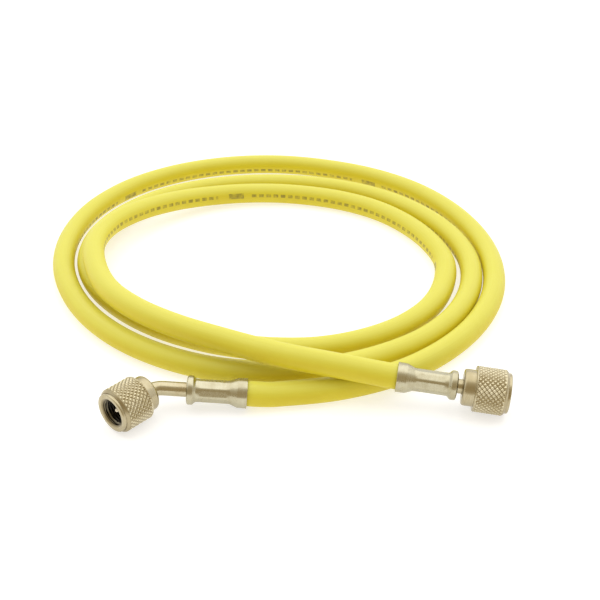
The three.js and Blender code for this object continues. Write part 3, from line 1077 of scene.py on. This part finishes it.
@dataclass
class SwivelNut:
    """Knurled swivel nut with a threaded socket. Its local +Z points out of its front face."""

    name: str
    node: str
    where: Placement
    body: Body
    length: float = 19.1 * MM
    radius: float = 9.45 * MM
    chamfer: float = 1.0 * MM
    lip_radius: float = 8.3 * MM
    lip_length: float = 1.2 * MM
    hub_radius: float = 7.55 * MM
    hub_length: float = 4.8 * MM
    hub_round: float = 1.4 * MM
    mouth_radius: float = 6.6 * MM
    thread_major: float = 5.56 * MM
    thread_minor: float = 4.95 * MM
    thread_pitch: float = 1.27 * MM
    thread_start: float = 0.9 * MM
    thread_end: float = 10.6 * MM
    back_wall: float = 2.6 * MM
    hole_radius: float = 3.3 * MM
    knurls: int = 30
    knurl_depth: float = 0.42 * MM
    knurl_rows: int = 62
    knurl_fade: float = 0.35 * MM
    knurl_gap_front: float = 0.3 * MM
    knurl_gap_back: float = 0.5 * MM
    crest_gain: float = 1.25
    thread_rows: int = 64
    thread_inset: float = 0.3 * MM
    shade_depth: float = 3.0 * MM
    smooth_tone: float = 0.5
    # Painted shade: the band behind the lip is darkened more than the smooth faces.
    bevel_shade_tone: float = 0.62
    around: int = 300
    turn: float = 0.0

    def front_rows(self) -> list[tuple[float, float]]:
        """Returns the rows from the mouth over the lip to the start of the knurl."""
        edge = self.lip_length + self.chamfer
        rows = rounded([
            (self.mouth_radius - 0.5 * MM, -0.5 * MM, 0.0),
            (self.mouth_radius, 0.0, 0.12 * MM),
            (self.lip_radius, 0.0, 0.5 * MM),
            (self.lip_radius, -self.lip_length + 0.1 * MM, 0.15 * MM),
            (self.lip_radius + 0.05 * MM, -self.lip_length - 0.25 * MM, 0.1 * MM),
            (self.radius - self.chamfer, -self.lip_length, 0.1 * MM),
            (self.radius - 0.1 * MM, -edge, 0.2 * MM),
            (self.radius - 0.12 * MM, -edge - self.knurl_gap_front, 0.0),
        ], 4)
        return [tuple(row) for row in rows[1:]]

    def back_rows(self) -> list[tuple[float, float]]:
        """Returns the rows from the end of the knurl over the hub and through the rear wall."""
        shoulder = self.length - self.hub_length
        rows = rounded([
            (self.radius - 0.1 * MM, -shoulder + self.knurl_gap_back, 0.0),
            (self.radius - 0.12 * MM, -shoulder + 0.2 * MM, 0.1 * MM),
            (self.radius - 0.45 * MM, -shoulder, 0.1 * MM),
            (self.hub_radius, -shoulder, 0.25 * MM),
            (self.hub_radius, -self.length, self.hub_round),
            (self.hole_radius, -self.length, 0.3 * MM),
            (self.hole_radius, -(self.length - self.back_wall), 0.1 * MM),
            (self.thread_major + 0.1 * MM, -(self.length - self.back_wall), 0.2 * MM),
            (self.thread_major + 0.1 * MM, -(self.thread_end + 0.6 * MM), 0.2 * MM),
        ], 5)
        return [tuple(row) for row in rows]

    def knurl(self, angle: np.ndarray, z: np.ndarray) -> np.ndarray:
        """Height of the diamond knurl from 0 in a groove to 1 on a crest."""
        pitch = TAU * self.radius / self.knurls
        u = angle / TAU * self.knurls
        w = z / pitch
        first = np.abs(((u + w) % 1.0) - 0.5) * 2.0
        second = np.abs(((u - w) % 1.0) - 0.5) * 2.0
        return np.minimum(1.0 - first, 1.0 - second)

    def thread(self, angle: np.ndarray, z: np.ndarray) -> np.ndarray:
        """Radius of the right-hand internal thread at an angle and depth."""
        phase = ((-z - self.thread_start) / self.thread_pitch + angle / TAU) % 1.0
        ridge = np.clip(1.0 - np.abs(phase - 0.5) * 2.6, 0.0, 0.82) / 0.82
        inside = np.clip((-z - self.thread_start) / (0.5 * MM), 0.0, 1.0)
        ending = np.clip((self.thread_end + z) / (0.6 * MM), 0.0, 1.0)
        return self.thread_major - (self.thread_major - self.thread_minor) * ridge * inside * ending

    def knurl_rings(self, angle: np.ndarray) -> list[NutRing]:
        """Returns the rings of the knurled band, which fades out at both ends."""
        edge = self.lip_length + self.chamfer + self.knurl_gap_front
        shoulder = self.length - self.hub_length - self.knurl_gap_back
        rings = []
        for z in -np.linspace(edge, shoulder, self.knurl_rows):
            fade = min(1.0, (-z - edge) / self.knurl_fade, (shoulder + z) / self.knurl_fade)
            fade = max(fade, 0.0)
            crest = self.knurl(angle, np.full(self.around, z))
            cut = self.knurl_depth * (1.0 - np.minimum(crest * self.crest_gain, 1.0)) * fade
            # The knurl's grooves take tarnish and painted shade through the cavity value.
            rings.append(NutRing(self.radius - cut, z, (1.0 - crest) ** 2 * fade))
        return rings

    def thread_rings(self, angle: np.ndarray) -> list[NutRing]:
        """Returns the rings of the threaded socket, from its inner end to the mouth."""
        rings = []
        first = self.thread_start - self.thread_inset
        for z in -np.linspace(self.thread_end, first, self.thread_rows):
            wall = self.thread(angle, np.full(self.around, z))
            root = (wall - self.thread_minor) / (self.thread_major - self.thread_minor)
            depth = (-z - self.thread_start) / self.shade_depth
            # Painted shade: darker with depth into the socket and in the thread roots.
            dark = np.clip(0.35 + depth + root * 0.3, 0.0, 1.0)
            # Thread roots take tarnish and painted shade through the cavity value.
            rings.append(NutRing(wall, z, root * 0.9, dark))
        return rings

    def inside(self, radius: float, z: float) -> bool:
        """Returns True for a row of the rear half that lies in the socket."""
        return radius <= self.thread_major + 0.2 * MM and z > -(self.length - 0.5 * MM)

    def build(self) -> bpy.types.Object:
        """Returns the nut, with the knurl and the thread in its mesh and two attributes of tarnish
        and painted shade.
        """
        angle = np.arange(self.around) / self.around * TAU
        bevel = -self.lip_length * 0.8
        # The band behind the lip is painted darker, as painted shade.
        rows = [NutRing(r, z, self.bevel_shade_tone if z < bevel else self.smooth_tone)
                for r, z in self.front_rows()]
        rows += self.knurl_rings(angle)
        # Rows inside the socket get full painted shade through the recess value.
        rows += [NutRing(r, z, self.smooth_tone, float(self.inside(r, z)))
                 for r, z in self.back_rows()]
        rows += self.thread_rings(angle)

        radius, height, cavity, recess = (
            np.array([np.broadcast_to(getattr(row, key), self.around) for row in rows])
            for key in ("radius", "z", "cavity", "recess")
        )
        profile = np.stack([radius.mean(axis=1), height[:, 0]], -1)
        spin = angle + self.turn
        rings = np.stack([radius * np.cos(spin), radius * np.sin(spin), height], -1)
        obj = ring_object(self.name, placed(rings, self.where), profile_lengths(profile, True),
                          closed=True, sharp_angle=38.0)
        for label, values in (("cavity", cavity), ("recess", recess)):
            layer = obj.data.attributes.new(label, "FLOAT", "POINT")
            layer.data.foreach_set("value", values.astype(np.float32).ravel())
        return obj

    def dress(self, obj: bpy.types.Object, finish: bpy.types.Material) -> None:
        """Plates the nut."""
        dress_piece(obj, finish, self.node, self.body)


@dataclass
class Gasket:
    """Seal ring in front of the stem flange."""

    name: str
    node: str
    where: Placement
    body: Body
    front: float = 11.9 * MM
    back: float = 14.1 * MM
    radius: float = 4.7 * MM
    hole: float = 2.0 * MM
    around: int = 64

    def build(self) -> bpy.types.Object:
        """Returns the ring with rounded edges."""
        profile = rounded([
            (self.hole, -self.back, 0.2 * MM), (self.radius, -self.back, 0.35 * MM),
            (self.radius, -self.front, 0.35 * MM), (self.hole, -self.front, 0.5 * MM),
        ])
        rings = placed(turned_rings(profile, self.around), self.where)
        return ring_object(self.name, rings, profile_lengths(profile, True), closed=True)

    def dress(self, obj: bpy.types.Object, finish: bpy.types.Material) -> None:
        """Gives the ring its rubber."""
        dress_piece(obj, finish, self.node, self.body)


@dataclass
class CoreDepressor:
    """Crossbar and pin that press a valve core open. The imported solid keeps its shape."""

    node: str = "core_depressor"

    def dress(self, finish: bpy.types.Material) -> None:
        """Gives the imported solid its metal."""
        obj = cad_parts[self.node]
        obj.data.materials.clear()
        obj.data.materials.append(finish)


# ---------------------------------------------------------------------------
# Studio


@dataclass
class Studio:
    """Camera at the photograph's place, pale floor, one soft light and the surround.

    The surround's colours run from the camera's side, 0, to the far side, 1.
    """

    camera_place: tuple[float, float, float] = (11.5 * MM, -444.8 * MM, 275.7 * MM)
    tilt: float = 32.97
    focal_pixels: float = 1062.0
    image_width: float = 600.0
    sensor: float = 36.0
    floor_half: float = 6.0
    floor_tone: float = 0.57
    floor_glow: float = 0.6
    softbox_place: Point = (0.0, 0.5, 1.15)
    softbox_aim: Point = (0.0, 0.3, 0.0)
    softbox_size: tuple[float, float] = (2.6, 1.9)
    softbox_power: float = 10.5
    surround_near: tuple[float, Colour] = (0.15, (0.50, 0.41, 0.26, 1.0))
    surround_middle: tuple[float, Colour] = (0.32, (0.7, 0.64, 0.52, 1.0))
    surround_far: tuple[float, Colour] = (0.5, (1.0, 1.0, 1.0, 1.0))
    surround_strength: float = 1.1

    def camera(self) -> None:
        """Adds the camera, looking along +Y and down."""
        data = bpy.data.cameras.new("camera")
        data.sensor_width = self.sensor
        data.lens = self.focal_pixels / self.image_width * self.sensor
        data.clip_start, data.clip_end = 0.01, 50.0
        camera = bpy.data.objects.new("camera", data)
        camera.location = self.camera_place
        camera.rotation_euler = (math.radians(90.0 - self.tilt), 0.0, 0.0)
        bpy.context.scene.collection.objects.link(camera)
        bpy.context.scene.camera = camera

    def floor(self) -> None:
        """Adds the floor."""
        h = self.floor_half
        mesh = bpy.data.meshes.new("floor")
        corners = [(-h, -h, 0.0), (h, -h, 0.0), (h, h, 0.0), (-h, h, 0.0)]
        mesh.from_pydata(corners, [], [(0, 1, 2, 3)])
        obj = bpy.data.objects.new("floor", mesh)
        material, _, shader = begin_material("pale_floor")
        shader.inputs["Base Color"].default_value = (*[self.floor_tone] * 3, 1.0)
        shader.inputs["Emission Color"].default_value = (1.0, 1.0, 1.0, 1.0)
        shader.inputs["Emission Strength"].default_value = self.floor_glow
        shader.inputs["Roughness"].default_value = 0.9
        shader.inputs["Specular IOR Level"].default_value = 0.1
        mesh.materials.append(material)
        bpy.context.scene.collection.objects.link(obj)

    def softbox(self) -> None:
        """Adds the soft rectangular light overhead."""
        data = bpy.data.lights.new("overhead_softbox", "AREA")
        data.shape = "RECTANGLE"
        data.size, data.size_y = self.softbox_size
        data.energy = self.softbox_power
        light = bpy.data.objects.new("overhead_softbox", data)
        light.location = self.softbox_place
        way = Vector(self.softbox_aim) - Vector(self.softbox_place)
        light.rotation_euler = way.to_track_quat("-Z", "Y").to_euler()
        bpy.context.scene.collection.objects.link(light)

    def world(self) -> None:
        """Adds a white surround that is dim and warm on the side in front of the object."""
        world = bpy.data.worlds.new("surround")
        world.use_nodes = True
        nodes = Nodes(world.node_tree)
        place = nodes.add("ShaderNodeTexCoord")
        split = nodes.add("ShaderNodeSeparateXYZ")
        nodes.join(place.outputs["Generated"], split.inputs[0])
        ramp = nodes.add("ShaderNodeValToRGB")
        stops = ramp.color_ramp.elements
        stops[0].position, stops[0].color = self.surround_near
        stops[1].position, stops[1].color = self.surround_far
        stops.new(self.surround_middle[0]).color = self.surround_middle[1]
        nodes.join(nodes.math("MULTIPLY_ADD", split.outputs["Y"], 0.5, 0.5), ramp.inputs[0])
        background = world.node_tree.nodes["Background"]
        nodes.join(ramp.outputs["Color"], background.inputs["Color"])
        background.inputs["Strength"].default_value = self.surround_strength
        bpy.context.scene.world = world

    def build(self) -> None:
        """Adds everything in the studio."""
        self.camera()
        self.floor()
        self.softbox()
        self.world()
        bpy.context.scene.view_settings.view_transform = "Standard"


PLATINGS = (
    Plating(Slot.FERRULE.value, (0.52, 0.485, 0.345, 1.0), (0.43, 0.38, 0.24, 1.0), 0.22),
    Plating(Slot.STEM.value, (0.52, 0.465, 0.31, 1.0), (0.42, 0.34, 0.19, 1.0), 0.2),
    Plating(Slot.NUT.value, (0.71, 0.645, 0.455, 1.0), (0.56, 0.485, 0.29, 1.0), 0.2, grime_and_shade=0.85),
    Plating(Slot.DEPRESSOR.value, (0.78, 0.70, 0.55, 1.0), (0.5, 0.42, 0.28, 1.0), 0.25),
)


def fitting_pieces() -> list[tuple[Ferrule | Stem | SwivelNut | Gasket, Slot]]:
    """Returns the pieces of the two ends in building order, each with its slot."""
    elbow, straight = LAYOUT.elbow_nut(), LAYOUT.straight_nut()
    return [
        (Ferrule("elbow_sleeve", "elbow_ferrule", LAYOUT.elbow_ferrule()), Slot.FERRULE),
        (Ferrule("straight_sleeve", "straight_ferrule", LAYOUT.straight_ferrule()), Slot.FERRULE),
        (Stem("bent_tube", "elbow_stem", LAYOUT.elbow_ferrule(), elbow, LAYOUT.elbow_corner(),
              counterbore=2.8 * MM), Slot.STEM),
        (Stem("straight_tube", "straight_stem", LAYOUT.straight_ferrule(), straight), Slot.STEM),
        (SwivelNut("elbow_knurled_nut", "elbow_nut", elbow, Body.ELBOW_NUT), Slot.NUT),
        (SwivelNut("straight_knurled_nut", "straight_nut", straight, Body.STRAIGHT_NUT,
                   turn=0.35), Slot.NUT),
        (Gasket("elbow_seal", "elbow_gasket", elbow, Body.ELBOW_NUT), Slot.SEAL),
        (Gasket("straight_seal", "straight_gasket", straight, Body.STRAIGHT_NUT), Slot.SEAL),
    ]


def main() -> None:
    """Builds the studio and the hose, piece by piece."""
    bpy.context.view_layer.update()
    Studio().build()
    hose = Hose()
    jacket = hose.build()
    hose.dress(jacket)
    log.info("built %s", jacket.name)

    finishes = {plating.name: plating.build() for plating in PLATINGS}
    finishes[Slot.SEAL.value] = SealRubber().build()
    for piece, slot in fitting_pieces():
        obj = piece.build()
        piece.dress(obj, finishes[slot.value])
        log.info("built %s", obj.name)
    CoreDepressor().dress(finishes[Slot.DEPRESSOR.value])
    log.info("dressed core_depressor")


if __name__ == "__main__":
    main()
